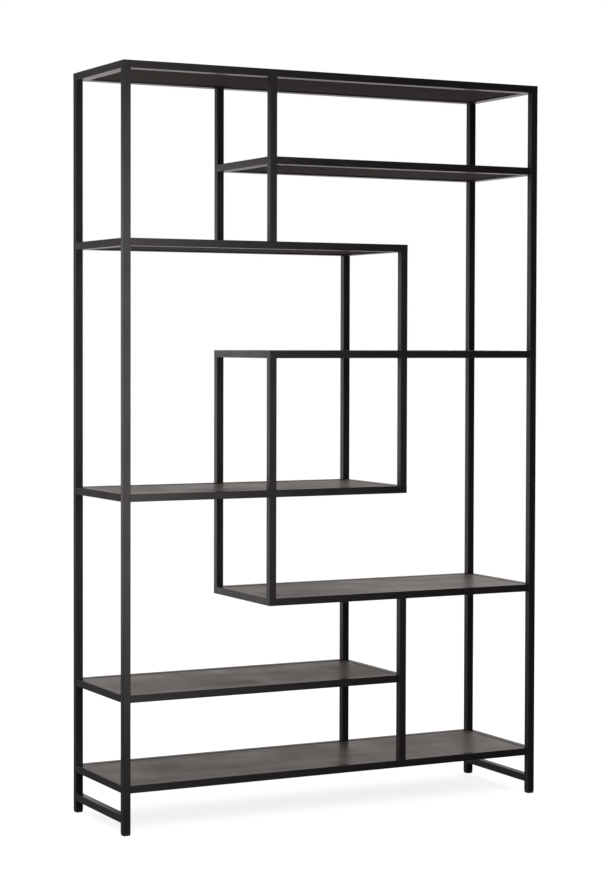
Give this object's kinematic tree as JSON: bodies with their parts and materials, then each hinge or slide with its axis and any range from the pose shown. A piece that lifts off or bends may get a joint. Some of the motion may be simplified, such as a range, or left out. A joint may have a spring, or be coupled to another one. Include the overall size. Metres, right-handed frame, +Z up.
{
  "type": "zigzag bookcase",
  "caption": "Tall open bookcase: a square steel tube frame with inset boards that reach from alternate sides in a zigzag, tied by short dividers at their free corners.",
  "frame": {"origin": "on the floor, under the middle of the bookcase", "axes": "+Z up, +X to the right seen from the front, -Y towards the front"},
  "size_m": [1.26, 0.35, 2],
  "materials": {
    "frame": "black powder coat, fine texture, satin",
    "board": "black-brown stained veneer, satin lacquer above, plain below",
    "screw": "black zinc",
    "cap": "moulded, matt"
  },
  "bodies": {
    "root": {"board_screws": "screw", "end_ledges": "frame", "foot_caps": "cap", "front_left_post": "frame", "front_right_post": "frame", "left_stretcher": "frame", "long_ledges": "frame", "low_right_divider_front": "frame", "low_right_divider_rear": "frame", "mid_left_divider_front": "frame", "mid_left_divider_rear": "frame", "mid_right_divider_front": "frame", "mid_right_divider_rear": "frame", "rear_left_post": "frame", "rear_right_post": "frame", "right_stretcher": "frame", "shelf_1_board": "board", "shelf_1_front_rail": "frame", "shelf_1_left_rail": "frame", "shelf_1_rear_rail": "frame", "shelf_1_right_rail": "frame", "shelf_2_board": "board", "shelf_2_front_rail": "frame", "shelf_2_left_rail": "frame", "shelf_2_rear_rail": "frame", "shelf_2_right_rail": "frame", "shelf_3_board": "board", "shelf_3_front_rail": "frame", "shelf_3_left_rail": "frame", "shelf_3_rear_rail": "frame", "shelf_3_right_rail": "frame", "shelf_4_board": "board", "shelf_4_front_rail": "frame", "shelf_4_left_rail": "frame", "shelf_4_rear_rail": "frame", "shelf_4_right_rail": "frame", "shelf_5_board": "board", "shelf_5_front_rail": "frame", "shelf_5_left_rail": "frame", "shelf_5_rear_rail": "frame", "shelf_5_right_rail": "frame", "shelf_6_board": "board", "shelf_6_front_rail": "frame", "shelf_6_left_rail": "frame", "shelf_6_rear_rail": "frame", "shelf_6_right_rail": "frame", "shelf_7_board": "board", "shelf_7_front_rail": "frame", "shelf_7_left_rail": "frame", "shelf_7_rear_rail": "frame", "shelf_7_right_rail": "frame", "shelf_8_board": "board", "shelf_8_front_rail": "frame", "shelf_8_left_rail": "frame", "shelf_8_rear_rail": "frame", "shelf_8_right_rail": "frame", "top_left_divider_front": "frame", "top_left_divider_rear": "frame"}
  },
  "joints": []
}
